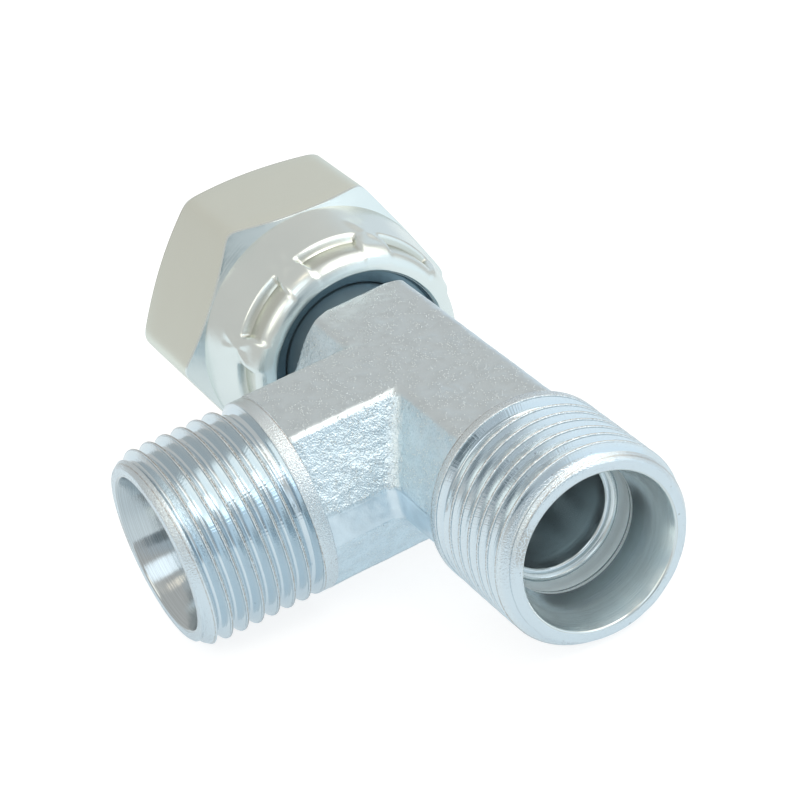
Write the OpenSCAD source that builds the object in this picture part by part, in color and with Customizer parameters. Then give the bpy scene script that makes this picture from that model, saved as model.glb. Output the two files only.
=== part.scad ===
// Swivel nut run tee for a 12 mm tube line, light series, 24 degree cone, M18 x 1.5.
// The three bores meet at the origin. The run port points to +X, the swivel nut to -X,
// the branch port to -Y, and +Z is the top face of the forging.

/* [Ports] */
// Outer diameter of the port thread
thread_d = 18; // [17.4:0.1:19.5]
// Pitch of the thread
thread_pitch = 1.5; // [1:0.25:2]
// Length of the thread, from the port face to the turned band behind the run-out
thread_len = 11.3; // [10:0.1:11.4]
// Length of the lead-in chamfer at the port face
thread_lead_in = 1.4; // [0.9:0.1:2]
// From the meeting point of the bores to the face of the run port
run_reach = 27.4; // [27:0.2:36]
// From the meeting point of the bores to the face of the branch port
branch_reach = 27.8; // [27:0.2:36]
// Width of the floor of the run-out groove, and of each of its slopes along the port
runout_w = 0.4; // [0.2:0.1:0.6]
// Included angle of the sealing cone
cone_angle = 24; // [20:1:30]
// Diameter of the sealing cone at the port face
cone_mouth_d = 14.3; // [13.8:0.1:14.8]
// Outer diameter of the tube that the ports take
tube_d = 12; // [11.6:0.1:12.6]
// Clearance between the tube and its socket, all round
tube_gap = 0.05; // [0.02:0.01:0.1]
// Depth of the tube stop below the port face
tube_stop = 7.5; // [6.8:0.1:8.5]
// Flow bore of the run and of the branch
bore_d = 10; // [8.5:0.1:10.6]
// Edge break at the mouth of the cone
mouth_break = 0.2; // [0.1:0.05:0.4]

/* [Forging] */
// Height of the forging across its top and bottom faces
forge_h = 15.8; // [15:0.1:17]
// Width of an arm across its side lands
forge_w = 17.2; // [16.4:0.1:18]
// Width of the flat top of an arm
top_w = 9.2; // [7:0.1:11]
// Height of the trimmed land on the side of an arm
land_h = 3; // [1.5:0.1:5]
// From the meeting point of the bores to the forging's end at the turned band of a port
arm_reach = 15.3; // [14.4:0.1:15.4]
// From the meeting point of the bores to the forging's end behind the nut
forge_reach = 11.8; // [10.5:0.1:12.6]
// Chamfer turned on that end
forge_chamfer = 1; // [0.4:0.1:1.4]

/* [Spigot] */
// Diameter of the neck that the nut turns on
neck_d = 13.8; // [13.2:0.1:14.2]
// Diameter of the shoulder that the nut pulls on
shoulder_d = 16; // [15.6:0.1:16.2]
// Length of the shoulder's full diameter
shoulder_len = 1.5; // [1:0.1:2.2]
// From the meeting point of the bores to the back of the shoulder
shoulder_at = 20.6; // [20.2:0.1:21]
// From the meeting point of the bores to the nose's tip
nose_reach = 31; // [30.6:0.1:31.8]
// Flow bore through the nose
nose_bore_d = 8; // [7:0.1:8.4]
// From the nose's tip to where the cone has the mouth's diameter
nose_depth = 6.6; // [6.2:0.1:7]

/* [Seal] */
// Cord diameter of the O-ring
ring_cord = 1.5; // [1.3:0.05:1.6]
// Diameter of the groove's floor
ring_groove_d = 9.7; // [9.5:0.1:10]
// Width of the groove
ring_groove_w = 2; // [1.8:0.1:2.2]
// Rim of the nose in front of the groove
nose_rim = 0.9; // [0.7:0.1:1.2]
// Gap between the O-ring and the floor of its groove
ring_gap = 0.02; // [0.01:0.01:0.05]

/* [Nut] */
// Size across the flats of the hexagon
nut_af = 24; // [22.5:0.5:27]
// Length of the hexagon with its chamfers
nut_hex_len = 11.6; // [10.8:0.1:12.5]
// How far the hexagon's corners are rounded off from sharp ones
corner_cut = 0.2; // [0.1:0.05:0.6]
// Length of the crimped collar behind the hexagon
collar_len = 8.4; // [8:0.1:9.4]
// Step in from the flats to the root of the collar
collar_inset = 0.1; // [0.1:0.05:0.4]
// From the meeting point of the bores to the collar's rim
rim_at = 14; // [13.6:0.1:14.4]
// Step in from the flats to the edge of the hexagon's outer face
hex_face_inset = 0.6; // [0.2:0.1:0.8]
// Chamfer angle of the hexagon's ends
hex_chamfer_angle = 30; // [15:1:35]
// Diameter of the collar at its rim
rim_d = 20.8; // [20.4:0.1:21.4]
// Rounding of the rim's outer edge
rim_round = 0.4; // [0.2:0.1:0.7]
// Gap between the collar's lip and the neck, all round
neck_gap = 0.1; // [0.05:0.01:0.1]
// Gap between the collar's seat and the shoulder
seat_gap = 0.15; // [0.1:0.05:0.3]
// Chamfer at the lip's mouth
lip_chamfer = 1.1; // [0.5:0.1:1.3]
// Lead-in chamfer of the nut's thread
thread_lead = 0.9; // [0.5:0.1:1.2]
// Turn of the nut from a corner straight up
nut_turn = 33.7; // [0:0.1:60]

/* [Crimp] */
// Number of jaw bites round the collar
bites = 8; // [4:1:10]
// Angle that one bite covers
bite_angle = 29; // [20:1:34]
// Length of a bite from the rim
bite_len = 3.6; // [3:0.1:4.6]
// Diameter that the jaws close to at the far end of a bite
bite_d = 20.6; // [20.2:0.1:21]
// Diameter that the jaws close to at the rim
bite_rim_d = 20.2; // [19.6:0.1:20.3]
// Length of the sloped step at the hexagon's side of a bite
bite_step = 0.8; // [0.2:0.1:1.2]
// Turn of the first bite from straight up
bite_turn = 2; // [0:0.5:45]

/* [Hidden] */
$fn = 96;
steel = [0.74, 0.78, 0.82];
nut_steel = [0.72, 0.72, 0.69];
rubber = [0.06, 0.06, 0.07];
cut = 0.01;

// Thread radii: the male root and the female crest of a metric thread
thread_r = thread_d / 2;
root_r = thread_r - 0.6134 * thread_pitch;
nut_bore_r = thread_r - 0.5413 * thread_pitch;
nut_relief_r = thread_r + 0.1;

// The sealing cone narrows by this much for each millimetre of depth
cone_slope = tan(cone_angle / 2);
socket_r = tube_d / 2 + tube_gap;
cone_depth = (cone_mouth_d / 2 - socket_r) / cone_slope;
bore_r = bore_d / 2;
nose_bore_r = nose_bore_d / 2;
stop_chamfer = socket_r - bore_r - 0.2;
drill_tip = (bore_r - nose_bore_r) / tan(59);
run_bore_past = bore_r;

// Stations on the spigot, measured from the meeting point of the bores towards the nut
neck_r = neck_d / 2;
shoulder_r = shoulder_d / 2;
shoulder_edge = 0.3;
neck_end = shoulder_at - (shoulder_r - neck_r);
cone_full_at = nose_reach - nose_depth;
cone_back_at = shoulder_at + shoulder_len + shoulder_edge;
groove_front = nose_reach - nose_rim;
groove_back = groove_front - ring_groove_w;
nose_edge = 0.3;
ring_at = (groove_front + groove_back) / 2;
ring_r = ring_groove_d / 2 + ring_gap + ring_cord / 2;

// Stations on the nut, measured from the meeting point of the bores towards the nut
collar_end = rim_at + collar_len;
nut_end = collar_end + nut_hex_len;
corner_r = nut_af / sqrt(3);
over_r = corner_r - corner_cut;
collar_r = nut_af / 2 - collar_inset;
face_r = nut_af / 2 - hex_face_inset;
inner_chamfer = (over_r - collar_r) * tan(hex_chamfer_angle);
outer_chamfer = (over_r - face_r) * tan(hex_chamfer_angle);
rim_r = rim_d / 2;
lip_r = neck_r + neck_gap;
collar_bore_r = shoulder_r + neck_gap;
seat_at = shoulder_at - seat_gap;
lip_end = seat_at - (collar_bore_r - lip_r);
relief_at = collar_end + 0.4;
relief_len = 1.6;

function cone_r(at) = cone_mouth_d / 2 - (at - cone_full_at) * cone_slope;
function collar_outer(at) = rim_r + (collar_r - rim_r) * (at - rim_at) / collar_len;

// Turns children that stand on Z so that they point to the run port, the branch port or the nut
module to_run() rotate([0, 90, 0]) children();
module to_branch() rotate([90, 0, 0]) children();
module to_nut() rotate([0, -90, 0]) children();

// Cross-section of a forged arm, with its flat top along X
module arm_section() {
    w = top_w / 2;
    h = forge_h / 2;
    side = forge_w / 2;
    land = land_h / 2;
    polygon([[w, h], [side, land], [side, -land], [w, -h], [-w, -h], [-side, -land], [-side, land], [-w, h]]);
}

// A forged arm that stands on Z, with its flat top towards the forging's top
module arm(len) linear_extrude(len) arm_section();

// Turned outside of a port, from the end of the forging to the port face
module port_blank(reach) {
    groove = reach - thread_len;
    rotate_extrude() polygon([
        [0, arm_reach],
        [thread_r, arm_reach],
        [thread_r, groove],
        [root_r, groove + runout_w],
        [root_r, groove + 2 * runout_w],
        [thread_r, groove + 3 * runout_w],
        [thread_r, reach - thread_lead_in],
        [root_r, reach],
        [0, reach],
    ]);
}

// Everything that is bored out of a port, from a depth past the meeting point to the face
module port_bore(reach, past) {
    stop = reach - tube_stop;
    cone_r = cone_mouth_d / 2;
    rotate_extrude() polygon([
        [0, -past],
        [bore_r, -past],
        [bore_r, stop - stop_chamfer],
        [bore_r + stop_chamfer, stop],
        [socket_r, stop],
        [socket_r, reach - cone_depth],
        [cone_r - mouth_break * cone_slope, reach - mouth_break],
        [cone_r + mouth_break, reach],
        [cone_r + mouth_break, reach + cut],
        [0, reach + cut],
    ]);
}

// The arm towards the nut, with the chamfer that is turned on its end
module spigot_arm() {
    reach_r = norm([top_w / 2, forge_h / 2]);
    intersection() {
        rotate(90) arm(forge_reach);
        rotate_extrude() polygon([
            [0, 0],
            [reach_r, 0],
            [reach_r, forge_reach - forge_chamfer],
            [reach_r - forge_chamfer, forge_reach],
            [0, forge_reach],
        ]);
    }
}

// Neck, shoulder and cone nose in one turning, with the groove of the O-ring
module spigot() {
    rotate_extrude() polygon([
        [0, 0],
        [neck_r, 0],
        [neck_r, neck_end],
        [shoulder_r, shoulder_at],
        [shoulder_r, shoulder_at + shoulder_len],
        [shoulder_r - shoulder_edge, cone_back_at],
        [cone_r(cone_back_at), cone_back_at],
        [cone_r(groove_back), groove_back],
        [ring_groove_d / 2, groove_back],
        [ring_groove_d / 2, groove_front],
        [cone_r(groove_front), groove_front],
        [cone_r(nose_reach - nose_edge), nose_reach - nose_edge],
        [cone_r(nose_reach) - nose_edge, nose_reach],
        [0, nose_reach],
    ]);
}

// Bore of the nose, with the cone that the wider run drill leaves behind
module nose_bore() {
    cylinder(r = nose_bore_r, h = nose_reach + cut);
    translate([0, 0, run_bore_past]) cylinder(r1 = bore_r, r2 = nose_bore_r, h = drill_tip);
}

// The one forging: three arms, two threaded ports and the spigot that carries the nut
module tee_body() {
    color(steel) difference() {
        union() {
            to_run() rotate(90) arm(arm_reach);
            to_branch() arm(arm_reach);
            to_nut() spigot_arm();
            to_run() port_blank(run_reach);
            to_branch() port_blank(branch_reach);
            to_nut() spigot();
        }
        to_run() port_bore(run_reach, run_bore_past);
        to_branch() port_bore(branch_reach, 0);
        to_nut() nose_bore();
    }
}

// Rubber ring that seals the cone of the nose
module o_ring() {
    color(rubber) to_nut() translate([0, 0, ring_at])
        rotate_extrude() translate([ring_r, 0]) circle(d = ring_cord);
}

// Hexagon with rounded corners and both ends chamfered
module nut_hexagon() {
    intersection() {
        translate([0, 0, collar_end]) cylinder(r = corner_r, h = nut_hex_len, $fn = 6);
        rotate_extrude() polygon([
            [0, collar_end],
            [collar_r, collar_end],
            [over_r, collar_end + inner_chamfer],
            [over_r, nut_end - outer_chamfer],
            [face_r, nut_end],
            [0, nut_end],
        ]);
    }
}

// Tapered collar with a rounded rim
module nut_collar() {
    centre_r = rim_r - rim_round;
    centre_at = rim_at + rim_round;
    rotate_extrude() polygon([
        [0, rim_at],
        for (a = [-90 : 15 : 0]) [centre_r + rim_round * cos(a), centre_at + rim_round * sin(a)],
        [collar_r, collar_end],
        [0, collar_end],
    ]);
}

// Everything that is bored out of the nut
module nut_bore() {
    rotate_extrude() polygon([
        [0, rim_at - cut],
        [lip_r + lip_chamfer, rim_at - cut],
        [lip_r + lip_chamfer, rim_at],
        [lip_r, rim_at + lip_chamfer],
        [lip_r, lip_end],
        [collar_bore_r, seat_at],
        [collar_bore_r, relief_at],
        [nut_relief_r, relief_at],
        [nut_relief_r, relief_at + relief_len],
        [nut_bore_r, relief_at + relief_len + nut_relief_r - nut_bore_r],
        [nut_bore_r, nut_end - thread_lead],
        [nut_bore_r + thread_lead, nut_end],
        [nut_bore_r + thread_lead, nut_end + cut],
        [0, nut_end + cut],
    ]);
}

// What one crimping jaw presses out of the collar
module jaw_bite() {
    bite_end = rim_at + bite_len;
    rotate_extrude(angle = bite_angle) polygon([
        [bite_rim_d / 2, rim_at - cut],
        [bite_d / 2, bite_end - bite_step],
        [collar_outer(bite_end), bite_end],
        [collar_r + 1, bite_end],
        [collar_r + 1, rim_at - cut],
    ]);
}

// Swivel nut, held behind the shoulder by its crimped collar
module swivel_nut() {
    color(nut_steel) to_nut() difference() {
        union() {
            rotate(nut_turn) nut_hexagon();
            nut_collar();
        }
        nut_bore();
        for (i = [0 : bites - 1]) rotate(bite_turn - bite_angle / 2 + i * 360 / bites) jaw_bite();
    }
}

tee_body();
o_ring();
swivel_nut();
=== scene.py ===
import math

import bmesh
import bpy
import numpy as np
from mathutils import Matrix, Vector, noise


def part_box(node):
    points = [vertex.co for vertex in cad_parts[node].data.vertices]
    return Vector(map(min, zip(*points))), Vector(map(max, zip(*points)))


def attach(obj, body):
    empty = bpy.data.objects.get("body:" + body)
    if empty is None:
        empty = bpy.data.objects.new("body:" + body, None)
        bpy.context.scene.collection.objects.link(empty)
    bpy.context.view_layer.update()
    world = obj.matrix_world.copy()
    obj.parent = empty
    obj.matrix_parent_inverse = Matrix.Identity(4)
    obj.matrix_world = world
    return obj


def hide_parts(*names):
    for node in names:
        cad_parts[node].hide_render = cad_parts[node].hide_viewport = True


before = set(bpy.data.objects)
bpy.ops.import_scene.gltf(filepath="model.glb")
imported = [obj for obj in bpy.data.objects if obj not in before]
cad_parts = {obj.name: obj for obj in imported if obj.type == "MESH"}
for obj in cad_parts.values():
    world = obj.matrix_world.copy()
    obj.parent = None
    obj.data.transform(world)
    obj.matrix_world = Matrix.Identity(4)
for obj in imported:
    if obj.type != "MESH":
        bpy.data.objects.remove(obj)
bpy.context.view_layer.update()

# Lengths are in millimetres until a mesh is made. An _AT is a station along its arm, measured from
# the middle of the tee, and an _R is a radius. The nut's turns and its bites' half width are degrees.
MM = 0.001
body_low, body_high = (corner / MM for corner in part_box("tee_body"))
nut_low, nut_high = (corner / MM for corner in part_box("swivel_nut"))

# Ports
RUN_REACH = body_high.x
BRANCH_REACH = -body_low.y
NOSE_REACH = -body_low.x
THREAD_R = 9.0
PITCH = 1.5
THREAD_DEPTH = 0.6134 * PITCH
ROOT_R = THREAD_R - THREAD_DEPTH
ARM_REACH = 15.3
BAND_SINK = 0.15
THREAD_LEN = 11.3
GROOVE_SLOPE = 0.4
GROOVE_FLOOR = 0.35
LEAD_IN = 1.4
PORT_COLUMNS = 160
# Station of one crest of each port's thread, at angle 0
RUN_CREST = 16.28
BRANCH_CREST = 16.5
CONE_MOUTH_R = 7.15
FACE_RIM_R = 8.0
CONE_SLOPE = math.tan(math.radians(12))
SOCKET_R = 6.05
STOP_DEPTH = 7.5
STOP_FILLET = 0.55
BORE_R = 5.0
NOSE_BORE_R = 4.0

# Forging
FORGE_TOP = 7.9
TOP_HALF = 4.6
LAND_HALF_W = 8.6
LAND_HALF_H = 1.5
# The forging's far side stands this much nearer to the run's axis
MISMATCH = 0.28
FORGE_REACH = 11.8
# Width of the rounding on the edges at each height, and of the fillet in the inner corners
EDGE_ROUNDING = {FORGE_TOP: 0.35, LAND_HALF_H: 0.4, -LAND_HALF_H: 0.6, -FORGE_TOP: 0.3}
CORNER_FILLET = 0.9
# Unevenness of the forged skin: how often it changes per millimetre, and how high it is
WAVE_RATE = 0.45
WAVE_HEIGHT = 0.05
PIT_RATE = 1.7
PIT_HEIGHT = 0.022
SKIN_VOXEL = 0.2

# Spigot
NECK_R = 6.9
SHOULDER_R = 8.0
SHOULDER_AT = 20.6
SHOULDER_LEN = 1.5
NOSE_DEPTH = 6.6
RING_FLOOR_R = 4.85
RING_GROOVE = (28.1, 30.1)

# Nut
NUT_END = -nut_low.x
RIM_AT = -nut_high.x
NUT_COLUMNS = 360
HEX_HALF = 12.0
# The higher it is, the sharper are the hexagon's corners
HEX_SHARPNESS = 42
HEX_LEN = 11.6
COLLAR_END = NUT_END - HEX_LEN
COLLAR_R = 11.9
RIM_R = 10.4
# Rounding of the crimped rim, along the axis and across it
RIM_ROUND = 1.6
RIM_WIDTH = 1.65
FACE_R = 11.4
HEX_TURN = 33.7
BITES = 8
BITE_TURN = 2.0
BITE_HALF = 14.5
# Degrees over which a bite's floor rises to the land at its side
BITE_BLEND = 2.6
BITE_END = 17.6
# Length over which the floor rises to the collar at the bite's end
BITE_STEP = 0.65
BITE_FLOOR_R = 10.3
BITE_RIM_R = 10.36
RIDGE_HEIGHT = 0.16
LIP_R = 7.0
MOUTH_R = 8.6
MOUTH_DEPTH = 1.6
COLLAR_BORE_R = 8.1
SEAT_AT = 20.45
RELIEF_AT = 22.8
RELIEF_R = THREAD_R + 0.1
NUT_MINOR_R = THREAD_R - 0.5413 * PITCH

# Directions in which a turned form can point: (cosine axis, sine axis, length axis)
TO_RUN = (Vector((0, 1, 0)), Vector((0, 0, 1)), Vector((1, 0, 0)))
TO_BRANCH = (Vector((1, 0, 0)), Vector((0, 0, 1)), Vector((0, -1, 0)))
TO_NUT = (Vector((0, 0, 1)), Vector((0, 1, 0)), Vector((-1, 0, 0)))


# Meshes

def new_object(name, vertices, faces):
    """A mesh object from points in millimetres."""
    mesh = bpy.data.meshes.new(name)
    mesh.from_pydata([tuple(c * MM for c in v) for v in vertices], [], faces)
    mesh.update()
    piece = bpy.data.objects.new(name, mesh)
    bpy.context.collection.objects.link(piece)
    return piece


def revolved(name, along, radius, towards, plain_rows=None, per_pitch=0):
    """A closed solid of revolution from (rows, columns) arrays, with fans over its ends. The rows
    after the first plain_rows climb by per_pitch rows in each turn, as on a helix."""
    rows, columns = along.shape
    if plain_rows is None:
        plain_rows = rows
    cosine, sine, axis = (np.array(v) for v in towards)
    angle = np.arange(columns) * (2 * math.pi / columns)
    around = np.cos(angle)[:, None] * cosine + np.sin(angle)[:, None] * sine
    points = radius[:, :, None] * around[None] + along[:, :, None] * axis
    vertices = points.reshape(-1, 3).tolist()
    vertices += [(axis * along[0, 0]).tolist(), (axis * along[-1, 0]).tolist()]
    start, end = rows * columns, rows * columns + 1

    def joined(row, column):
        """Vertex that the column before this one is joined to."""
        climb = per_pitch if column == 0 and row >= plain_rows else 0
        return min(row + climb, rows - 1) * columns + column

    faces = []
    for j in range(rows - 1):
        for i in range(columns):
            k = (i + 1) % columns
            faces.append((j * columns + i, joined(j, k), joined(j + 1, k), (j + 1) * columns + i))
    for i in range(columns):
        k = (i + 1) % columns
        faces.append((start, k, i))
        faces.append((end, (rows - 1) * columns + i, (rows - 1) * columns + k))
    piece = new_object(name, vertices, faces)
    clean(piece)
    return piece


def clean(piece):
    """Merges rows that have run together, and drops the faces that vanish with them."""
    mesh = piece.data
    work = bmesh.new()
    work.from_mesh(mesh)
    bmesh.ops.remove_doubles(work, verts=work.verts, dist=2e-7)
    bmesh.ops.dissolve_degenerate(work, edges=work.edges, dist=1e-7)
    work.to_mesh(mesh)
    work.free()


def plain_rings(profile, columns):
    """Arrays of stations and radii for (along, radius) points, the same all round."""
    along, radius = np.array(profile, float).T
    return np.repeat(along[:, None], columns, axis=1), np.repeat(radius[:, None], columns, axis=1)


def lathe(name, profile, towards, columns=128):
    """A closed solid of revolution from (along, radius) points."""
    along, radius = plain_rings(profile, columns)
    return revolved(name, along, radius, towards)


def helical_solid(name, profile, along, radius, towards, per_pitch):
    """A closed solid: plain rings from (along, radius) points, then the rows of a helix."""
    plain_along, plain_radius = plain_rings(profile, along.shape[1])
    all_along = np.concatenate([plain_along, along])
    all_radius = np.concatenate([plain_radius, radius])
    return revolved(name, all_along, all_radius, towards, len(profile), per_pitch)


def apply_modifiers(piece):
    """Bakes the modifiers of a piece into its mesh."""
    graph = bpy.context.evaluated_depsgraph_get()
    mesh = bpy.data.meshes.new_from_object(piece.evaluated_get(graph))
    piece.modifiers.clear()
    piece.data = mesh


def combine(piece, other, operation):
    """Joins other to piece, or cuts it out, and removes other."""
    boolean = piece.modifiers.new(operation, "BOOLEAN")
    boolean.operation = operation
    boolean.solver = "MANIFOLD"
    boolean.object = other
    apply_modifiers(piece)
    bpy.data.objects.remove(other)


def smooth_by_angle(piece, degrees):
    """Smooth shading, except over edges sharper than an angle."""
    mesh = piece.data
    mesh.polygons.foreach_set("use_smooth", [True] * len(mesh.polygons))
    mesh.set_sharp_from_angle(angle=math.radians(degrees))


def softened(points, size):
    """Rounds the corners between the ends of an (along, radius) profile with short curves."""
    result = [points[0]]
    for before, corner, after in zip(points, points[1:], points[2:]):
        a, b, c = (np.array(p, float) for p in (before, corner, after))
        reach = min(size, 0.45 * np.linalg.norm(b - a), 0.45 * np.linalg.norm(c - b))
        start = b + (a - b) / np.linalg.norm(a - b) * reach
        end = b + (c - b) / np.linalg.norm(c - b) * reach
        for t in np.linspace(0, 1, 4):
            result.append(tuple((1 - t) ** 2 * start + 2 * t * (1 - t) * b + t ** 2 * end))
    result.append(points[-1])
    return result


# Threads

def thread_rows():
    """Distances from the crest, within one pitch, at which a thread has a row of points."""
    half = [0.0, 0.05, 0.09, 0.14, 0.34, 0.53, 0.60, 0.66]
    return [-0.75] + [-d for d in half[:0:-1]] + half


def thread_radius(distance):
    """Radius of an outer thread at a distance from its crest, with rounded crest and root."""
    knots = [0.0, 0.05, 0.09, 0.14, 0.53, 0.60, 0.66, 0.75]
    depth = [0.025, 0.0, 0.025, 0.1, 0.775, 0.87, 0.91, THREAD_DEPTH]
    return THREAD_R - np.interp(np.abs(distance), knots, depth)


def helix_grid(first, last, crest, columns):
    """Points along the axis, and their distances from the crest, for a right-hand helix.
    crest is the station of any crest at angle 0."""
    base = thread_rows()
    turns = int((last - first) / PITCH) + 4
    starts = crest + PITCH * (math.floor((first - crest) / PITCH) - 1 + np.arange(turns))
    rows = np.array([s + d for s in starts for d in base])
    distance = np.array([d for s in starts for d in base])
    lift = PITCH * np.arange(columns) / columns
    return rows[:, None] + lift[None], np.repeat(distance[:, None], columns, axis=1), len(base)


def port_blank(name, reach, towards, crest):
    """Band, run-out groove and threaded end of a port."""
    groove = reach - THREAD_LEN
    floor_at = groove + GROOVE_SLOPE
    first = floor_at + GROOVE_FLOOR
    along, distance, per_pitch = helix_grid(first, reach, crest, PORT_COLUMNS)
    run_out = np.interp(along, [first, first + GROOVE_SLOPE], [ROOT_R, THREAD_R + 0.05])
    face_line = [reach - LEAD_IN, reach - 0.1, reach - 0.03, reach]
    face = np.interp(along, face_line, [THREAD_R + 0.03, ROOT_R + 0.07, ROOT_R, FACE_RIM_R])
    radius = np.minimum(np.minimum(thread_radius(distance), run_out), face)
    radius = np.where(along >= reach, FACE_RIM_R, np.where(along <= first, ROOT_R, radius))
    along = np.clip(along, first, reach)
    back = ARM_REACH - BAND_SINK
    band = softened([
        (back, 0), (back, THREAD_R), (groove, THREAD_R), (floor_at, ROOT_R), (first, ROOT_R),
    ], 0.1)
    return helical_solid(name, band[1:], along, radius, towards, per_pitch)


# Tee body

def forging_outline(half):
    """Outline of the tee at one height, where its arms are this wide on each side. It ends inside
    the ports' bands."""
    end = ARM_REACH - 0.03
    far = half - MISMATCH
    return [
        (-FORGE_REACH, -half), (-half, -half), (-half, -end), (half, -end),
        (half, -half), (end, -half), (end, far), (-FORGE_REACH, far),
    ]


def forging():
    """The forged skin: three arms with bevelled sides that meet in mitred corners."""
    levels = [
        (-FORGE_TOP, TOP_HALF), (-LAND_HALF_H, LAND_HALF_W),
        (LAND_HALF_H, LAND_HALF_W), (FORGE_TOP, TOP_HALF),
    ]
    vertices = [(x, y, z) for z, half in levels for x, y in forging_outline(half)]
    faces = [tuple(reversed(range(8))), tuple(range(24, 32))]
    for level in range(3):
        for i in range(8):
            k = (i + 1) % 8
            faces.append((8 * level + i, 8 * level + k, 8 * level + 8 + k, 8 * level + 8 + i))
    piece = new_object("tee_body_scene", vertices, faces)
    round_forging(piece)
    remesh = piece.modifiers.new("even_skin", "REMESH")
    remesh.mode = "VOXEL"
    remesh.voxel_size = SKIN_VOXEL * MM
    apply_modifiers(piece)
    roughen(piece)
    return piece


def round_forging(piece):
    """Rounds the forging's edges, and puts a fillet in the corners beside the branch."""
    work = bmesh.new()
    work.from_mesh(piece.data)
    weight = work.edges.layers.float.new("bevel_weight_edge")
    for edge in work.edges:
        a, b = (v.co / MM for v in edge.verts)
        middle = (a + b) / 2
        mitred = abs(abs(a.x) - abs(a.y)) < 0.01 and abs(abs(b.x) - abs(b.y)) < 0.01
        if mitred and abs(a.x) < 9 and a.y < 0:
            edge[weight] = CORNER_FILLET
        elif abs(a.z - b.z) < 0.01 and max(abs(middle.x), abs(middle.y)) < ARM_REACH - 0.1:
            edge[weight] = EDGE_ROUNDING[round(middle.z, 1)]
    work.to_mesh(piece.data)
    work.free()
    bevel = piece.modifiers.new("rounding", "BEVEL")
    bevel.limit_method = "WEIGHT"
    # A weight of 1 is 1 mm
    bevel.width = MM
    bevel.segments = 4
    apply_modifiers(piece)


def roughen(piece):
    """Waves and small pits of a forged and blasted surface."""
    mesh = piece.data
    normals = [v.normal.copy() for v in mesh.vertices]
    for vertex, normal in zip(mesh.vertices, normals):
        place = vertex.co / MM
        wave = noise.noise(place * WAVE_RATE) * WAVE_HEIGHT
        pits = noise.noise(place * PIT_RATE + Vector((7, 3, 1))) * PIT_HEIGHT
        vertex.co += normal * (wave + pits) * MM
    mesh.update()


def cone_r(at):
    """Radius of the nose's cone at a station towards the nut."""
    return CONE_MOUTH_R - (at - (NOSE_REACH - NOSE_DEPTH)) * CONE_SLOPE


def spigot():
    """Neck, shoulder and cone nose."""
    root = FORGE_REACH - 1.5
    chamfer = 0.3
    back = SHOULDER_AT + SHOULDER_LEN + chamfer
    ring_start, ring_end = RING_GROOVE
    tip = NOSE_REACH - chamfer
    profile = softened([
        (root, 0), (root, NECK_R), (SHOULDER_AT - (SHOULDER_R - NECK_R), NECK_R),
        (SHOULDER_AT, SHOULDER_R), (SHOULDER_AT + SHOULDER_LEN, SHOULDER_R),
        (back, SHOULDER_R - chamfer), (back, cone_r(back)), (ring_start, cone_r(ring_start)),
        (ring_start, RING_FLOOR_R), (ring_end, RING_FLOOR_R), (ring_end, cone_r(ring_end)),
        (tip, cone_r(tip)), (NOSE_REACH, cone_r(NOSE_REACH) - chamfer), (NOSE_REACH, 0),
    ], 0.1)
    return lathe("spigot", profile, TO_NUT)


def port_bore(name, reach, past, towards):
    """Cone, tube socket, tube stop and bore of a port."""
    stop = reach - STOP_DEPTH
    cone_end = reach - (CONE_MOUTH_R - SOCKET_R) / CONE_SLOPE
    fillet_r = SOCKET_R - 0.05 - STOP_FILLET
    profile = [
        (-past, 0), (-past, BORE_R), (stop - 1.6, BORE_R), (stop - 1.5, BORE_R + 0.05),
        (stop - 0.12, BORE_R + 0.05), (stop - 0.02, BORE_R + 0.14), (stop, BORE_R + 0.17),
    ]
    for turn in range(0, 91, 15):
        t = math.radians(turn)
        profile.append((stop + STOP_FILLET * (1 - math.cos(t)), fillet_r + STOP_FILLET * math.sin(t)))
    profile += [
        (stop + 1.2, SOCKET_R), (cone_end - 0.42, SOCKET_R + 0.04),
        (cone_end - 0.36, SOCKET_R + 0.08), (cone_end - 0.2, SOCKET_R + 0.08),
        (cone_end - 0.14, SOCKET_R + 0.03), (cone_end + 0.15, SOCKET_R + 0.04),
        (reach - 0.2, CONE_MOUTH_R - 0.05), (reach - 0.08, CONE_MOUTH_R + 0.02),
        (reach, CONE_MOUTH_R + 0.15), (reach + 1, CONE_MOUTH_R + 0.9), (reach + 1, 0),
    ]
    return lathe(name, profile, towards, PORT_COLUMNS)


def nose_bore():
    """Bore of the nose, with the cone that the wider drill leaves."""
    past = NOSE_REACH + 0.5
    profile = [
        (0, 0), (0, NOSE_BORE_R), (4.9, NOSE_BORE_R + 0.005), (4.91, BORE_R - 0.01),
        (BORE_R + 0.6, NOSE_BORE_R), (NOSE_REACH - 0.25, NOSE_BORE_R),
        (past, NOSE_BORE_R + 0.75), (past, 0),
    ]
    return lathe("nose_bore", profile, TO_NUT)


def tee_body():
    """The forging with its turned ports and spigot, as one mesh."""
    piece = forging()
    combine(piece, chamfer_ring(), "DIFFERENCE")
    combine(piece, spigot(), "UNION")
    combine(piece, port_blank("run_blank", RUN_REACH, TO_RUN, RUN_CREST), "UNION")
    combine(piece, port_blank("branch_blank", BRANCH_REACH, TO_BRANCH, BRANCH_CREST), "UNION")
    combine(piece, port_bore("run_bore", RUN_REACH, BORE_R, TO_RUN), "DIFFERENCE")
    combine(piece, port_bore("branch_bore", BRANCH_REACH, 0, TO_BRANCH), "DIFFERENCE")
    combine(piece, nose_bore(), "DIFFERENCE")
    smooth_by_angle(piece, 35)
    return piece


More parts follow.
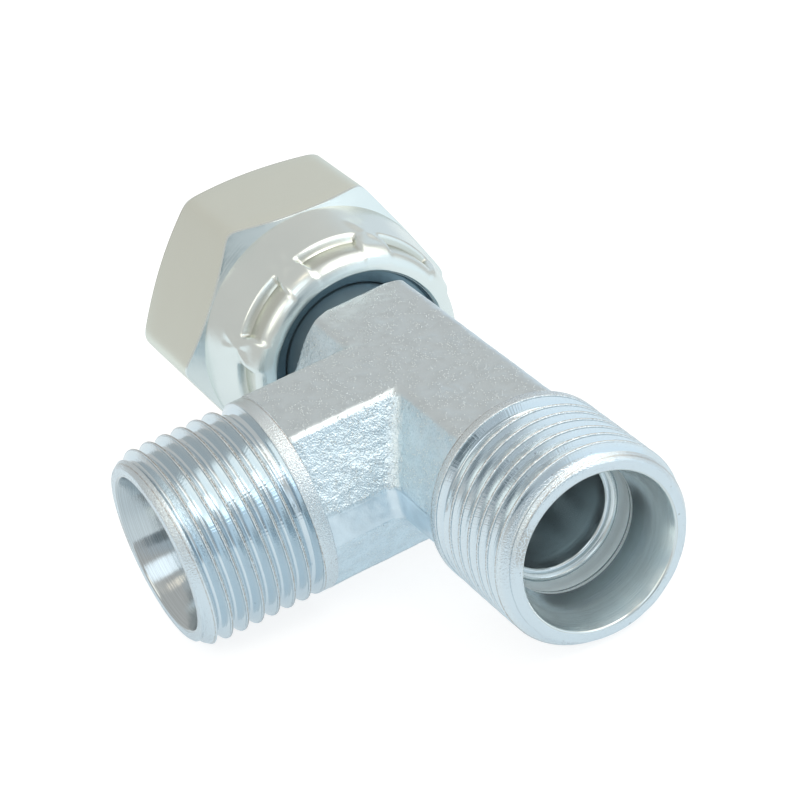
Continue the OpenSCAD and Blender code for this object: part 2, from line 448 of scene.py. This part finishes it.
def chamfer_ring():
    """Ring whose inner cone cuts the chamfer on the forging's end behind the nut."""
    corner = math.hypot(TOP_HALF, FORGE_TOP)
    start, end, outside = FORGE_REACH - 1.0, FORGE_REACH + 0.5, 14
    ring = [(start, corner), (end, corner - 1.5), (end, outside), (start, outside)]
    columns = 128
    cosine, sine, axis = (np.array(v) for v in TO_NUT)
    vertices = []
    for along, radius in ring:
        for i in range(columns):
            angle = 2 * math.pi * i / columns
            outward = cosine * math.cos(angle) + sine * math.sin(angle)
            vertices.append(tuple(axis * along + radius * outward))
    faces = []
    for j in range(4):
        for i in range(columns):
            k = (i + 1) % columns
            n = (j + 1) % 4
            faces.append((j * columns + i, n * columns + i, n * columns + k, j * columns + k))
    piece = new_object("chamfer_ring", vertices, faces)
    work = bmesh.new()
    work.from_mesh(piece.data)
    bmesh.ops.recalc_face_normals(work, faces=work.faces)
    work.to_mesh(piece.data)
    work.free()
    return piece


# Swivel nut

def hex_radius(angle):
    """Radius of the hexagon, with slightly rounded corners, at an angle from a corner."""
    total = np.zeros_like(angle)
    for side in range(6):
        facing = np.cos(angle - math.radians(30 + 60 * side))
        total += np.maximum(facing, 0) ** HEX_SHARPNESS
    return HEX_HALF / total ** (1 / HEX_SHARPNESS)


def smooth_step(x):
    """0 below 0, 1 above 1, and a smooth rise between."""
    x = np.clip(x, 0, 1)
    return x * x * (3 - 2 * x)


def collar_radius(at):
    """Radius of the collar between its jaw bites."""
    return RIM_R + (COLLAR_R - RIM_R) * (at - RIM_AT) / (COLLAR_END - RIM_AT)


def bite_radius(at):
    """Radius of the floor that the jaws leave."""
    return np.interp(at, [RIM_AT, BITE_END - BITE_STEP], [BITE_RIM_R, BITE_FLOOR_R])


def bite_side(at, angle):
    """1 within a jaw bite, 0 on the lands between the bites, at every angle of a station."""
    pitch = 360 / BITES
    off = np.abs((np.degrees(angle) - BITE_TURN + pitch / 2) % pitch - pitch / 2)
    waist = 1.6 * math.exp(-((at - BITE_END + 0.2) / 0.8) ** 2)
    return smooth_step((BITE_HALF + waist + BITE_BLEND / 2 - off) / BITE_BLEND)


def ridge_height(at, angle):
    """Metal that the jaws raised: two ridges on each land, which cross where the bites end."""
    pitch = 360 / BITES
    from_land = np.abs((np.degrees(angle) - BITE_TURN) % pitch - pitch / 2)
    spread = np.interp(at, [BITE_END - 1.6, BITE_END, BITE_END + 2.4], [6.0, 0.0, 4.2])
    stations = [RIM_AT + 1.2, BITE_END - 0.6, BITE_END + 1.2, BITE_END + 2.6]
    fade = np.interp(at, stations, [0.0, 1.0, 1.0, 0.0])
    return RIDGE_HEIGHT * fade * np.exp(-((from_land - spread) / 2.5) ** 2)


def bitten_radius(at, angle):
    """Radius of the collar at a station, all round."""
    side = bite_side(at, angle)
    end = smooth_step((BITE_END + 0.1 - at) / BITE_STEP)
    outer = collar_radius(at)
    radius = outer + ridge_height(at, angle) - side * end * (outer - bite_radius(at))
    into = np.clip(1 - (at - RIM_AT) / RIM_ROUND, 0, 1)
    return radius - RIM_WIDTH * (1 - np.sqrt(1 - into ** 2))


def nut_outside():
    """Hexagon, collar and crimped rim, as a closed solid."""
    angle = np.arange(NUT_COLUMNS) * (2 * math.pi / NUT_COLUMNS)
    hexagon = hex_radius(angle - math.radians(HEX_TURN))
    slope = math.tan(math.radians(30))
    front = [(0.22, MOUTH_R - 0.05), (0.08, MOUTH_R + 0.03)]
    rows = [(RIM_AT + back, np.full(NUT_COLUMNS, r)) for back, r in front]
    rim = [RIM_AT + RIM_ROUND * (1 - math.cos(math.radians(turn))) for turn in range(0, 91, 10)]
    rows += [(at, bitten_radius(at, angle)) for at in rim]
    step = 0.15
    for at in np.arange(RIM_AT + RIM_ROUND + step, COLLAR_END - 0.1, step):
        rows.append((at, bitten_radius(at, angle)))
    near = COLLAR_END + (hexagon - COLLAR_R) * slope
    far = NUT_END - (hexagon - FACE_R) * slope
    edge = 0.2
    for t in (0.0, 0.1, 0.35, 0.65, 0.9):
        rows.append((COLLAR_END + (near - COLLAR_END) * t, COLLAR_R + (hexagon - COLLAR_R) * t))
    rows.append((near - edge * slope * 0.3, hexagon - edge * 0.25))
    for t in np.linspace(0, 1, 6):
        rows.append((near + edge + (far - near - 2 * edge) * t, hexagon))
    rows.append((far + edge * slope * 0.3, hexagon - edge * 0.25))
    for t in (0.25, 0.5, 0.75):
        rows.append((far + (NUT_END - far) * t, hexagon + (FACE_R - hexagon) * t))
    rows.append((NUT_END - 0.03, np.full(NUT_COLUMNS, FACE_R - 0.02)))
    rows.append((NUT_END, np.full(NUT_COLUMNS, FACE_R - 0.15)))
    along = np.array([np.broadcast_to(at, NUT_COLUMNS) for at, radius in rows])
    radius = np.array([radius for at, radius in rows])
    return revolved("swivel_nut_scene", along, radius, TO_NUT)


def nut_inside():
    """The space inside the nut: mouth, lip, seat, relief and helical thread."""
    start = RELIEF_AT + 1.7
    last = NUT_END + 0.4
    along, distance, per_pitch = helix_grid(start, last, start, PORT_COLUMNS)
    share = (THREAD_R - thread_radius(distance)) / THREAD_DEPTH
    radius = NUT_MINOR_R + share * (THREAD_R - NUT_MINOR_R)
    lead = np.interp(along, [NUT_END - 0.9, NUT_END], [NUT_MINOR_R, NUT_MINOR_R + 0.9])
    relief = np.interp(along, [start, start + 0.9], [RELIEF_R, NUT_MINOR_R])
    radius = np.maximum(np.maximum(radius, lead), relief)
    radius = np.where(along >= last, NUT_MINOR_R + 1.3, np.where(along <= start, RELIEF_R, radius))
    along = np.clip(along, start, last)
    front = RIM_AT - 0.5
    lip_start = RIM_AT + MOUTH_DEPTH
    lip_end = SEAT_AT - (COLLAR_BORE_R - LIP_R)
    plain = softened([
        (front, 0), (front, MOUTH_R + 0.15), (lip_start - 0.6, MOUTH_R - 0.3), (lip_start, LIP_R),
        (lip_end, LIP_R), (SEAT_AT, COLLAR_BORE_R), (RELIEF_AT, COLLAR_BORE_R),
        (RELIEF_AT, RELIEF_R), (start, RELIEF_R),
    ], 0.08)
    return helical_solid("nut_inside", plain[1:], along, radius, TO_NUT, per_pitch)


def swivel_nut():
    """The crimped hexagon nut with its thread."""
    piece = nut_outside()
    combine(piece, nut_inside(), "DIFFERENCE")
    smooth_by_angle(piece, 32)
    return piece


# Material nodes

def node(tree, kind, inputs=None, **settings):
    """A new shader node. Inputs are values or the sockets they come from."""
    made = tree.nodes.new("ShaderNode" + kind)
    for key, value in settings.items():
        setattr(made, key, value)
    for key, value in (inputs or {}).items():
        if isinstance(value, bpy.types.NodeSocket):
            tree.links.new(value, made.inputs[key])
        else:
            made.inputs[key].default_value = value
    return made


def maths(tree, operation, *values):
    """Result of a math node."""
    return node(tree, "Math", dict(enumerate(values)), operation=operation).outputs[0]


def ramp(tree, value, start, end):
    """A smooth rise from 0 at start to 1 at end."""
    inputs = {"Value": value, "From Min": start, "From Max": end}
    return node(tree, "MapRange", inputs, interpolation_type="SMOOTHSTEP").outputs["Result"]


def blended(tree, share, first, second):
    """Colour between two colours."""
    made = node(tree, "Mix", {0: share, 6: first, 7: second}, data_type="RGBA")
    return made.outputs[2]


def grain(tree, place, size, detail):
    """Noise with features of a size in millimetres, from 0 to 1."""
    return node(tree, "TexNoise", {"Vector": place, "Scale": 1 / size, "Detail": detail}).outputs["Fac"]


def lines(tree, station, size, detail=2.0):
    """Noise along one line only, for marks that run straight across it."""
    inputs = {"W": station, "Scale": 1 / size, "Detail": detail}
    return node(tree, "TexNoise", inputs, noise_dimensions="1D").outputs["Fac"]


def specks(tree, place, spacing, radius, kept):
    """1 in small round specks, of which only a share is kept."""
    cells = node(tree, "TexVoronoi", {"Vector": place, "Scale": 1 / spacing})
    dot = ramp(tree, cells.outputs["Distance"], radius / spacing, 0.4 * radius / spacing)
    chosen = node(tree, "SeparateColor", {"Color": cells.outputs["Color"]}).outputs[0]
    return maths(tree, "MULTIPLY", dot, ramp(tree, chosen, 1 - kept, 1.02 - kept))


def raised(tree, height, depth, below=None):
    """Normal of a bump whose full height is a depth in millimetres."""
    inputs = {"Height": height, "Distance": depth * MM}
    if below is not None:
        inputs["Normal"] = below
    return node(tree, "Bump", inputs).outputs["Normal"]


class Surface:
    """A new material, with the places on it in millimetres."""

    def __init__(self, name, colour, roughness, metallic=1):
        self.material = bpy.data.materials.new(name)
        self.material.use_nodes = True
        self.tree = self.material.node_tree
        self.shader = self.tree.nodes["Principled BSDF"]
        self.colour = (*colour, 1)
        self.shader.inputs["Base Color"].default_value = self.colour
        self.shader.inputs["Metallic"].default_value = metallic
        self.shader.inputs["Roughness"].default_value = roughness
        spot = node(self.tree, "TexCoord").outputs["Object"]
        scaled = node(self.tree, "VectorMath", {0: spot, "Scale": 1 / MM}, operation="SCALE")
        self.place = scaled.outputs[0]
        parts = node(self.tree, "SeparateXYZ", {0: self.place})
        self.x, self.y, self.z = parts.outputs

    def link(self, value, name):
        """Feeds an input of the shader."""
        self.tree.links.new(value, self.shader.inputs[name])

    def turned(self, axis, stretch):
        """Stretches highlights across the marks of a turning tool."""
        self.shader.inputs["Anisotropic"].default_value = stretch
        self.shader.inputs["Anisotropic Rotation"].default_value = 0.25
        tangent = node(self.tree, "Tangent", direction_type="RADIAL", axis=axis)
        self.link(tangent.outputs[0], "Tangent")

    def station(self, axis):
        """Distance from the middle towards the run port, or towards the branch port."""
        return self.x if axis == "X" else maths(self.tree, "MULTIPLY", self.y, -1.0)

    def radius(self, axis):
        """Distance from the axis of the run or of the branch."""
        side = self.y if axis == "X" else self.x
        squares = [maths(self.tree, "POWER", part, 2.0) for part in (side, self.z)]
        return maths(self.tree, "SQRT", maths(self.tree, "ADD", *squares))

    def angle(self, axis):
        """Angle around the axis of the run or of the branch."""
        side = self.y if axis == "X" else self.x
        return maths(self.tree, "ARCTAN2", self.z, side)


ZINC = (0.72, 0.80, 0.84)
BLASTED_ZINC = (0.74, 0.86, 0.93)
NUT_ZINC = (0.80, 0.83, 0.76)
# Painted shade for the neck and the nut's lip, which lie in the gap between the nut and the tee
GAP_SHADE = (0.43, 0.53, 0.58, 1)
WHITE = (1, 1, 1, 1)


# Materials

def forged_skin():
    """Blasted and zinc plated forging: even grain, raised specks painted white as glints, smoother
    trimmed lands.
    """
    made = Surface("forged_skin", ZINC, 0.33)
    tree, place = made.tree, made.place
    height = maths(tree, "ABSOLUTE", made.z)
    top = ramp(tree, height, FORGE_TOP - 0.5, FORGE_TOP - 0.15)
    land = ramp(tree, height, LAND_HALF_H + 0.1, LAND_HALF_H - 0.15)
    fine = grain(tree, place, 0.17, 3.0)
    lumps = grain(tree, place, 0.6, 2.0)
    waves = grain(tree, place, 1.3, 1.0)
    off_land = maths(tree, "SUBTRACT", 1.0, land)
    spots = maths(tree, "MULTIPLY", specks(tree, place, 0.23, 0.085, 0.75), off_land)
    spots = maths(tree, "MULTIPLY", spots, ramp(tree, waves, 0.38, 0.6))
    bevel = maths(tree, "SUBTRACT", maths(tree, "SUBTRACT", 1.0, top), land)
    smooth_share = 0.18
    amount = maths(tree, "ADD", maths(tree, "MULTIPLY", bevel, 1 - smooth_share), smooth_share)
    normal = raised(tree, grain(tree, place, 5.0, 1.0), 0.3)
    normal = raised(tree, waves, 0.08, normal)
    normal = raised(tree, maths(tree, "MULTIPLY", lumps, amount), 0.1, normal)
    normal = raised(tree, maths(tree, "MULTIPLY", fine, amount), 0.07, normal)
    normal = raised(tree, spots, 0.06, normal)
    made.link(normal, "Normal")
    plain = blended(tree, top, (*BLASTED_ZINC, 1), made.colour)
    plain = blended(tree, land, plain, (0.76, 0.87, 0.94, 1))
    darker = blended(tree, 0.1, plain, (0.2, 0.2, 0.2, 1))
    colour = blended(tree, ramp(tree, waves, 0.3, 0.7), plain, darker)
    # Painted shade: the grain's hollows are painted a darker teal
    pits = maths(tree, "MULTIPLY", ramp(tree, fine, 0.5, 0.36), amount)
    colour = blended(tree, maths(tree, "MULTIPLY", pits, 0.35), colour, (0.45, 0.6, 0.68, 1))
    # The specks are raised bumps, and their white colour is a painted glint
    made.link(blended(tree, spots, colour, (0.94, 1, 1, 1)), "Base Color")
    return made.material


def crest_distance(tree, station, angle, crest):
    """Distance in millimetres from the nearest crest of a port's helix, along its axis."""
    pitches = maths(tree, "DIVIDE", maths(tree, "SUBTRACT", station, crest), PITCH)
    turns = maths(tree, "SUBTRACT", pitches, maths(tree, "DIVIDE", angle, 2 * math.pi))
    off = maths(tree, "SUBTRACT", turns, maths(tree, "ROUND", turns))
    return maths(tree, "MULTIPLY", maths(tree, "ABSOLUTE", off), PITCH)


def turned_port(name, axis, crest, reach):
    """Band, thread and face of a port: turned flanks, and crests with a speckled skin."""
    made = Surface(name, ZINC, 0.14)
    tree, place = made.tree, made.place
    station, radius, angle = made.station(axis), made.radius(axis), made.angle(axis)
    made.turned(axis, 0.2)
    face = ramp(tree, station, reach - LEAD_IN + 0.05, reach - LEAD_IN + 0.3)
    crests = ramp(tree, radius, THREAD_R - 0.16, THREAD_R - 0.06)
    outer = maths(tree, "MAXIMUM", crests, maths(tree, "MULTIPLY", face, 0.7))
    lap = ramp(tree, crest_distance(tree, station, angle, crest), 0.07, 0.03)
    rings = lines(tree, station, 0.07)
    chatter = lines(tree, maths(tree, "MULTIPLY", angle, THREAD_R), 0.2, 1.0)
    patches = ramp(tree, grain(tree, place, 3.5, 1.0), 0.4, 0.6)
    skin = grain(tree, place, 0.13, 2.0)
    normal = raised(tree, rings, 0.006)
    normal = raised(tree, maths(tree, "MULTIPLY", chatter, patches), 0.013, normal)
    normal = raised(tree, maths(tree, "MULTIPLY", skin, outer), 0.09, normal)
    made.link(normal, "Normal")
    spots = maths(tree, "MULTIPLY", specks(tree, place, 1.1, 0.12, 0.4), 0.5)
    colour = blended(tree, ramp(tree, skin, 0.35, 0.65), (0.68, 0.74, 0.78, 1), made.colour)
    # Painted shade: the flanks are painted darker and bluer towards the thread's root
    flank_top = ramp(tree, radius, ROOT_R + 0.3, THREAD_R - 0.15)
    colour = blended(tree, flank_top, (0.67, 0.755, 0.81, 1), colour)
    worn = maths(tree, "MULTIPLY", maths(tree, "MULTIPLY", lap, outer), ramp(tree, skin, 0.35, 0.6))
    colour = blended(tree, worn, colour, (0.42, 0.4, 0.37, 1))
    made.link(blended(tree, spots, colour, (0.3, 0.32, 0.33, 1)), "Base Color")
    return made.material


def turned_bore(name, axis, colour, roughness, metallic):
    """Cone and bore of a port, with fine turning marks."""
    made = Surface(name, colour, roughness, metallic)
    tree = made.tree
    station = made.station(axis)
    made.turned(axis, 0.3)
    rings = lines(tree, station, 0.06, 3.0)
    coarse = lines(tree, station, 0.5, 1.0)
    normal = raised(tree, coarse, 0.006)
    made.link(raised(tree, rings, 0.005, normal), "Normal")
    darker = [0.81 * part for part in colour]
    made.link(blended(tree, ramp(tree, rings, 0.35, 0.65), (*darker, 1), made.colour), "Base Color")
    return made.material


def tube_socket(name, axis):
    """Wall that holds the tube's end: duller than the bore, and painted near-white with little metal as
    a painted highlight.
    """
    # Near-white and little metallic: a painted highlight on the wall
    made = Surface(name, (0.95, 1.0, 1.0), 0.3, 0.2)
    tree = made.tree
    rings = lines(tree, made.station(axis), 0.2, 2.0)
    made.link(raised(tree, rings, 0.02), "Normal")
    made.link(blended(tree, rings, (0.8, 0.88, 0.9, 1), made.colour), "Base Color")
    return made.material


def turned_spigot():
    """Neck, shoulder and nose. The neck is painted darker, as painted shade in the gap under the nut.
    """
    made = Surface("turned_spigot", (0.62, 0.7, 0.76), 0.3, 0.8)
    tree = made.tree
    station = made.station("X")
    made.turned("X", 0.3)
    made.link(raised(tree, lines(tree, station, 0.09), 0.01), "Normal")
    shade = blended(tree, lines(tree, station, 0.4), (0.56, 0.64, 0.7, 1), made.colour)
    # Painted shade: the neck under the nut is painted darker
    neck = ramp(tree, station, -SHOULDER_AT, 1.5 - SHOULDER_AT)
    made.link(blended(tree, neck, shade, GAP_SHADE), "Base Color")
    return made.material


def drawn_hexagon():
    """Satin flats of a nut made from drawn hexagon bar."""
    made = Surface("drawn_hexagon", NUT_ZINC, 0.4)
    tree, place = made.tree, made.place
    soft = grain(tree, place, 3.0, 2.0)
    fine = grain(tree, place, 0.12, 2.0)
    normal = raised(tree, soft, 0.03)
    made.link(raised(tree, fine, 0.006, normal), "Normal")
    made.link(blended(tree, soft, (0.79, 0.82, 0.75, 1), made.colour), "Base Color")
    return made.material


def turned_nut():
    """Collar and chamfers of the nut, with faint turning marks, and painted darker in the jaw bites as
    painted shade.
    """
    made = Surface("turned_nut", (0.8, 0.86, 0.85), 0.26)
    tree, place = made.tree, made.place
    station = made.station("X")
    made.turned("X", 0.3)
    rings = lines(tree, station, 0.12)
    soft = grain(tree, place, 1.6, 2.0)
    normal = raised(tree, rings, 0.006)
    made.link(raised(tree, soft, 0.03, normal), "Normal")
    slope = (COLLAR_R - RIM_R) / (COLLAR_END - RIM_AT)
    at = maths(tree, "MULTIPLY", station, -1.0)
    rise = maths(tree, "MULTIPLY", maths(tree, "SUBTRACT", at, RIM_AT), slope)
    outer = maths(tree, "ADD", rise, RIM_R)
    # Painted shade: the floors of the jaw bites are painted a darker olive
    bite_shade = ramp(tree, maths(tree, "SUBTRACT", outer, made.radius("X")), 0.15, 0.4)
    bite_shade = maths(tree, "MULTIPLY", bite_shade, ramp(tree, at, RIM_AT + 1.0, RIM_AT + 1.4))
    plain = blended(tree, soft, (0.77, 0.83, 0.82, 1), made.colour)
    made.link(blended(tree, bite_shade, plain, (0.63, 0.66, 0.61, 1)), "Base Color")
    return made.material


def nut_thread():
    """Bore and thread of the nut. The lip is painted darker, as painted shade in the gap beside the
    neck.
    """
    made = Surface("nut_bore", (0.62, 0.71, 0.76), 0.25, 0.9)
    tree = made.tree
    station = made.station("X")
    made.turned("X", 0.3)
    rings = lines(tree, station, 0.08)
    made.link(raised(tree, rings, 0.008), "Normal")
    colour = blended(tree, rings, (0.54, 0.63, 0.68, 1), made.colour)
    # Painted shade: the lip beside the neck is painted darker
    lip = ramp(tree, station, -SEAT_AT, 2 - SEAT_AT)
    made.link(blended(tree, lip, colour, GAP_SHADE), "Base Color")
    return made.material


def ring_rubber():
    """Black nitrile rubber with a fine moulded skin."""
    made = Surface("ring_rubber", (0.02, 0.02, 0.022), 0.45, 0)
    tree = made.tree
    skin = grain(tree, made.place, 0.15, 2.0)
    made.link(raised(tree, skin, 0.01), "Normal")
    made.link(blended(tree, skin, (0.014, 0.014, 0.015, 1), (0.028, 0.028, 0.03, 1)), "Base Color")
    return made.material


def paint(piece, materials, regions):
    """Gives each face the material of its region. regions takes the faces' centres in millimetres
    and their normals, and returns the number of a material for each face."""
    mesh = piece.data
    mesh.materials.clear()
    for material in materials:
        mesh.materials.append(material)
    count = len(mesh.polygons)
    centres, normals = np.empty(count * 3), np.empty(count * 3)
    mesh.polygons.foreach_get("center", centres)
    mesh.polygons.foreach_get("normal", normals)
    chosen = regions(centres.reshape(-1, 3) / MM, normals.reshape(-1, 3))
    mesh.polygons.foreach_set("material_index", chosen.astype(np.int32))


def faces_inward(centres, normals, axis):
    """Whether faces look towards an axis, and how far they are from it."""
    off = centres.copy()
    off[:, axis] = 0
    radius = np.linalg.norm(off, axis=1) + 1e-9
    return (off * normals).sum(axis=1) / radius < -0.04, radius


def socket_wall(radius, along):
    """Whether faces are the wall of a port's tube socket."""
    return (radius > SOCKET_R - 0.07) & (radius < SOCKET_R + 0.06) & (along > ARM_REACH + 0.7)


def tee_regions(centres, normals):
    """0 forged skin, 1 run port, 2 branch port, 3 run bore, 4 branch bore, 5 spigot, 6 run socket,
    7 branch socket."""
    along_run, along_branch = centres[:, 0], -centres[:, 1]
    band_back = ARM_REACH - BAND_SINK - 0.01
    widest = CONE_MOUTH_R + 0.2
    region = np.zeros(len(centres))
    region[along_run > band_back] = 1
    region[along_branch > band_back] = 2
    region[along_run < -FORGE_REACH + 0.02] = 5
    inner, radius = faces_inward(centres, normals, 1)
    region[inner & (radius < widest) & (along_branch > 0)] = 4
    region[inner & socket_wall(radius, along_branch)] = 7
    inner, radius = faces_inward(centres, normals, 0)
    region[inner & (radius < widest) & (along_branch < CONE_MOUTH_R)] = 3
    region[inner & socket_wall(radius, along_run)] = 6
    return region


def nut_regions(centres, normals):
    """0 flats, 1 turned outside, 2 inside."""
    region = np.ones(len(centres))
    region[(np.abs(normals[:, 0]) < 0.05) & (centres[:, 0] < -COLLAR_END)] = 0
    inner, radius = faces_inward(centres, normals, 0)
    region[inner & (radius < THREAD_R + 0.3) & (-centres[:, 0] > RIM_AT + 0.21)] = 2
    return region


def dress(piece, node_name, body):
    """Puts a piece in the place of its CAD node."""
    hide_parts(node_name)
    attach(piece, body)


def make_pieces():
    """All pieces of the object."""
    body = tee_body()
    skins = [
        forged_skin(),
        turned_port("turned_run", "X", RUN_CREST, RUN_REACH),
        turned_port("turned_branch", "Y", BRANCH_CREST, BRANCH_REACH),
        turned_bore("run_bore", "X", (0.76, 0.83, 0.85), 0.2, 0.9),
        # The branch bore is a darker copy of the run bore's colour: painted shade for its dark
        # reflections
        turned_bore("branch_bore", "Y", (0.6, 0.66, 0.69), 0.09, 1.0),
        turned_spigot(),
        tube_socket("run_socket", "X"),
        tube_socket("branch_socket", "Y"),
    ]
    paint(body, skins, tee_regions)
    dress(body, "tee_body", "tee")
    nut = swivel_nut()
    paint(nut, [drawn_hexagon(), turned_nut(), nut_thread()], nut_regions)
    dress(nut, "swivel_nut", "nut")
    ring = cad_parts["o_ring"]
    ring.data.materials.clear()
    ring.data.materials.append(ring_rubber())


# Stage, light and camera

# The photograph's camera, fitted to the circles of both ports
CAMERA_AT = (208.568, -84.617, 140.279)
CAMERA_FORWARD = (-0.79468, 0.31132, -0.52112)
CAMERA_RIGHT = (0.47103, 0.85777, -0.20584)
SENSOR = 36
LENS = 136.68

# The table touches both ports and a flat of the nut
TABLE_UP = (-0.0605, 0.0605, 0.9963)
TABLE_AT = -10.63
TABLE_HALF = 220


def make_camera():
    """The photograph's view."""
    data = bpy.data.cameras.new("photo_camera")
    data.sensor_width = SENSOR
    data.lens = LENS
    data.clip_start = 0.01
    data.clip_end = 10
    camera = bpy.data.objects.new("photo_camera", data)
    bpy.context.collection.objects.link(camera)
    forward = Vector(CAMERA_FORWARD).normalized()
    right = Vector(CAMERA_RIGHT)
    right = (right - forward * right.dot(forward)).normalized()
    up = right.cross(forward)
    turn = Matrix((right, up, -forward)).transposed()
    camera.matrix_world = Matrix.Translation(Vector(CAMERA_AT) * MM) @ turn.to_4x4()
    bpy.context.scene.camera = camera


def heading(azimuth, elevation):
    """Unit vector from an azimuth, counted from +X towards +Y, and an elevation, in degrees."""
    a, e = math.radians(azimuth), math.radians(elevation)
    return Vector((math.cos(a) * math.cos(e), math.sin(a) * math.cos(e), math.sin(e)))


# Parts of the studio that the metal mirrors: azimuth, elevation, inner and outer half angle, colour
STUDIO = [
    (20, -10, 25, 50, (0.86, 1.0, 1.08)),
    (55, 6, 20, 40, (0.94, 1.04, 1.1)),
    (135, 5, 12, 30, (0.74, 0.81, 0.86)),
    (-4, 17, 16, 28, (0.54, 0.6, 0.64)),
    (-11, 11, 8, 12, (0.16, 0.2, 0.22)),
    (72, 55, 24, 34, (1.6, 1.53, 1.42)),
    (50, 33, 3, 7, (2.6, 3.0, 3.3)),
    (-33, 50, 10, 17, (1.5, 1.6, 1.66)),
    (-58, 79, 5, 9, (1.7, 1.5, 1.25)),
    (-82, 42, 12, 20, (1.7, 1.62, 1.45)),
]
STUDIO_WALLS = (0.63, 0.615, 0.59)


def make_world():
    """White for the camera, and for the object a pale studio with brighter and darker parts."""
    world = bpy.data.worlds.new("studio")
    bpy.context.scene.world = world
    world.use_nodes = True
    tree = world.node_tree
    tree.nodes.clear()
    toward = node(tree, "TexCoord").outputs["Generated"]
    colour = (*STUDIO_WALLS, 1)
    for azimuth, elevation, inner, outer, paint_colour in STUDIO:
        inputs = {0: toward, 1: heading(azimuth, elevation)}
        facing = node(tree, "VectorMath", inputs, operation="DOT_PRODUCT").outputs["Value"]
        outer_edge, inner_edge = (math.cos(math.radians(angle)) for angle in (outer, inner))
        share = ramp(tree, facing, outer_edge, inner_edge)
        colour = blended(tree, share, colour, (*paint_colour, 1))
    light = node(tree, "Background", {"Color": colour})
    white = node(tree, "Background", {"Color": WHITE})
    camera_ray = node(tree, "LightPath").outputs["Is Camera Ray"]
    mixed = node(tree, "MixShader", {0: camera_ray, 1: light.outputs[0], 2: white.outputs[0]})
    node(tree, "OutputWorld", {"Surface": mixed.outputs[0]})


def area_light(name, azimuth, elevation, distance, size, power, colour):
    """A round soft lamp that faces the object, lengths in millimetres."""
    data = bpy.data.lights.new(name, "AREA")
    data.shape = "DISK"
    data.size = size * MM
    data.energy = power
    data.color = colour
    lamp = bpy.data.objects.new(name, data)
    bpy.context.collection.objects.link(lamp)
    lamp.location = heading(azimuth, elevation) * distance * MM
    lamp.rotation_mode = "QUATERNION"
    lamp.rotation_quaternion = (-lamp.location).to_track_quat("-Z", "Y")


def make_floor():
    """The table: white, with the object's soft shadow, and clear from below."""
    up = Vector(TABLE_UP).normalized()
    across = up.cross(Vector((0, 1, 0))).normalized()
    ahead = up.cross(across)
    corners = []
    for a, b in ((-1, -1), (-1, 1), (1, 1), (1, -1)):
        corners.append(up * TABLE_AT + across * TABLE_HALF * a + ahead * TABLE_HALF * b)
    table = new_object("floor", corners, [(0, 1, 2, 3)])
    if table.data.polygons[0].normal.dot(up) < 0:
        table.data.flip_normals()
    material = bpy.data.materials.new("floor_white")
    material.use_nodes = True
    tree = material.node_tree
    tree.nodes.clear()
    path = node(tree, "LightPath")
    seen = maths(tree, "MAXIMUM", path.outputs["Is Camera Ray"], path.outputs["Is Glossy Ray"])
    seen = maths(tree, "MAXIMUM", seen, path.outputs["Is Transmission Ray"])
    shaded = node(tree, "BsdfDiffuse", {"Color": (0.36, 0.36, 0.36, 1)})
    tint = blended(tree, path.outputs["Is Camera Ray"], (0.7, 0.78, 0.82, 1), WHITE)
    glow = node(tree, "Emission", {"Color": tint, "Strength": maths(tree, "MULTIPLY", seen, 0.8)})
    surface = node(tree, "AddShader", {0: shaded.outputs[0], 1: glow.outputs[0]})
    underside = node(tree, "NewGeometry").outputs["Backfacing"]
    clear = node(tree, "BsdfTransparent")
    either = node(tree, "MixShader", {0: underside, 1: surface.outputs[0], 2: clear.outputs[0]})
    node(tree, "OutputMaterial", {"Surface": either.outputs[0]})
    table.data.materials.append(material)


def make_stage():
    """Camera, world, lamps and table."""
    make_camera()
    make_world()
    area_light("key", 32, 59, 350, 130, 0.1, (1.0, 0.98, 0.93))
    make_floor()
    bpy.context.scene.view_settings.view_transform = "Standard"


make_pieces()
make_stage()
